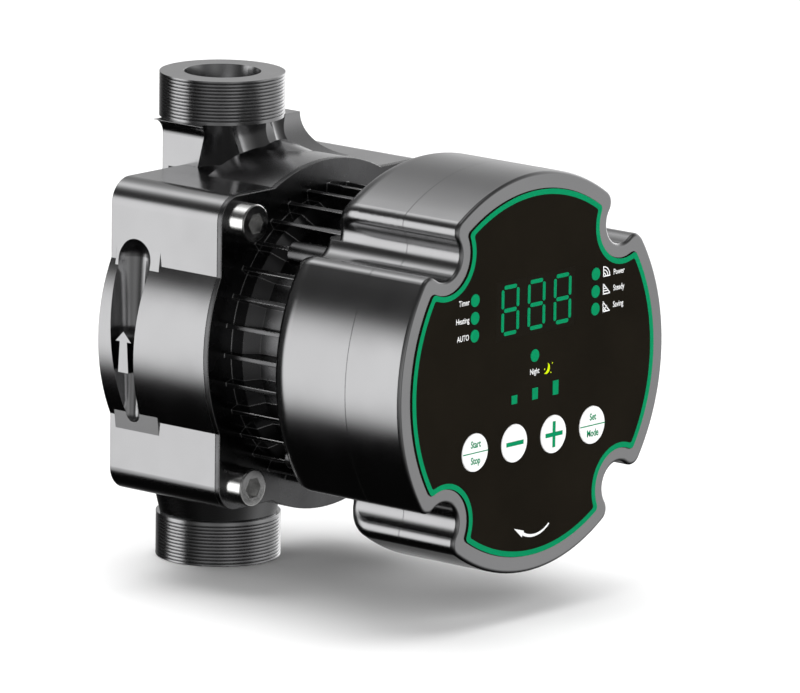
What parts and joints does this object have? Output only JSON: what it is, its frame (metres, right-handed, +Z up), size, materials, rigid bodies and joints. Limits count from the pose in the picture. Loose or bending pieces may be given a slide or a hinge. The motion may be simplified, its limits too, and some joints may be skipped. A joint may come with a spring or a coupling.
{
  "type": "circulator pump",
  "caption": "In-line heating circulator: threaded pump housing, finned wet-rotor motor and a four-lobed control box with keys and a display.",
  "frame": {"origin": "centre of the lower (inlet) port's end face", "axes": "+Z up the pipe line from inlet to outlet, -Y along the motor's axis out of the control panel, +X to the right of someone facing the panel"},
  "size_m": [0.115, 0.1259, 0.13],
  "materials": {
    "housing_metal": "satin grey coat on the pump casting",
    "stainless": "pressed stainless steel",
    "rubber_black": "matt rubber",
    "ceramic": "ground ceramic",
    "ceramic_shaft": "ground ceramic",
    "impeller_resin": "glass-filled resin",
    "magnet": "sintered ferrite",
    "motor_black": "gloss black coat on die-cast aluminium",
    "lamination": "stacked electrical steel",
    "copper": "enamelled copper wire",
    "resin_dark": "moulded resin",
    "screw_steel": "bright zinc-plated steel",
    "box_grey": "satin metallic grey",
    "panel_black": "satin black film",
    "window_smoke": "smoked lens",
    "lit_green": "green light guide",
    "key_white": "white key cap",
    "board_green": "solder mask",
    "capacitor_sleeve": "shrink sleeve",
    "pad_grey": "silicone pad",
    "terminal_green": "moulded resin"
  },
  "bodies": {
    "casing": {"pump_housing": "housing_metal", "neck_ring": "stainless", "housing_gasket": "rubber_black", "bearing_plate": "stainless", "front_bearing": "ceramic", "rear_bearing": "ceramic", "rear_bearing_holder": "stainless", "motor_housing": "motor_black", "rotor_can": "stainless", "can_seal": "rubber_black", "stator_core": "lamination", "stator_coils": "copper", "motor_end_cap": "resin_dark", "stator_plug": "resin_dark", "flange_screws": "screw_steel", "control_rear_shell": "box_grey", "control_front_cover": "box_grey", "fascia_panel": "panel_black", "display_window": "window_smoke", "display_digits": "lit_green", "mode_lamps": "lit_green", "level_lamps": "lit_green", "key_switches": "resin_dark", "display_module": "resin_dark", "control_board": "board_green", "board_screws": "screw_steel", "dc_capacitors": "capacitor_sleeve", "filter_choke": "copper", "power_module": "resin_dark", "thermal_pad": "pad_grey", "terminal_block": "terminal_green", "cable_gland": "resin_dark", "gland_nut": "resin_dark", "shell_screws": "screw_steel", "cover_screws": "screw_steel", "shell_gasket": "box_grey"},
    "rotor": {"shaft": "ceramic_shaft", "impeller": "impeller_resin", "impeller_shroud": "impeller_resin", "rotor_core": "magnet", "rotor_sleeve": "stainless", "thrust_washer": "ceramic"},
    "start_stop_key": {"start_stop_button": "key_white"},
    "minus_key": {"minus_button": "key_white"},
    "plus_key": {"plus_button": "key_white"},
    "set_key": {"set_button": "key_white"}
  },
  "joints": [
    {"name": "rotor_spin", "type": "hinge", "parent": "casing", "child": "rotor", "pos_m": [0, -0.05, 0.065], "axis": [0, -1, 0], "continuous": true},
    {"name": "start_stop_press", "type": "slide", "parent": "casing", "child": "start_stop_key", "axis": [0, 1, 0], "range_m": [0, 0.0006], "stiffness_N_per_m": 2000, "springref_m": -0.0005},
    {"name": "minus_press", "type": "slide", "parent": "casing", "child": "minus_key", "axis": [0, 1, 0], "range_m": [0, 0.0006], "stiffness_N_per_m": 2000, "springref_m": -0.0005},
    {"name": "plus_press", "type": "slide", "parent": "casing", "child": "plus_key", "axis": [0, 1, 0], "range_m": [0, 0.0006], "stiffness_N_per_m": 2000, "springref_m": -0.0005},
    {"name": "set_press", "type": "slide", "parent": "casing", "child": "set_key", "axis": [0, 1, 0], "range_m": [0, 0.0006], "stiffness_N_per_m": 2000, "springref_m": -0.0005}
  ]
}
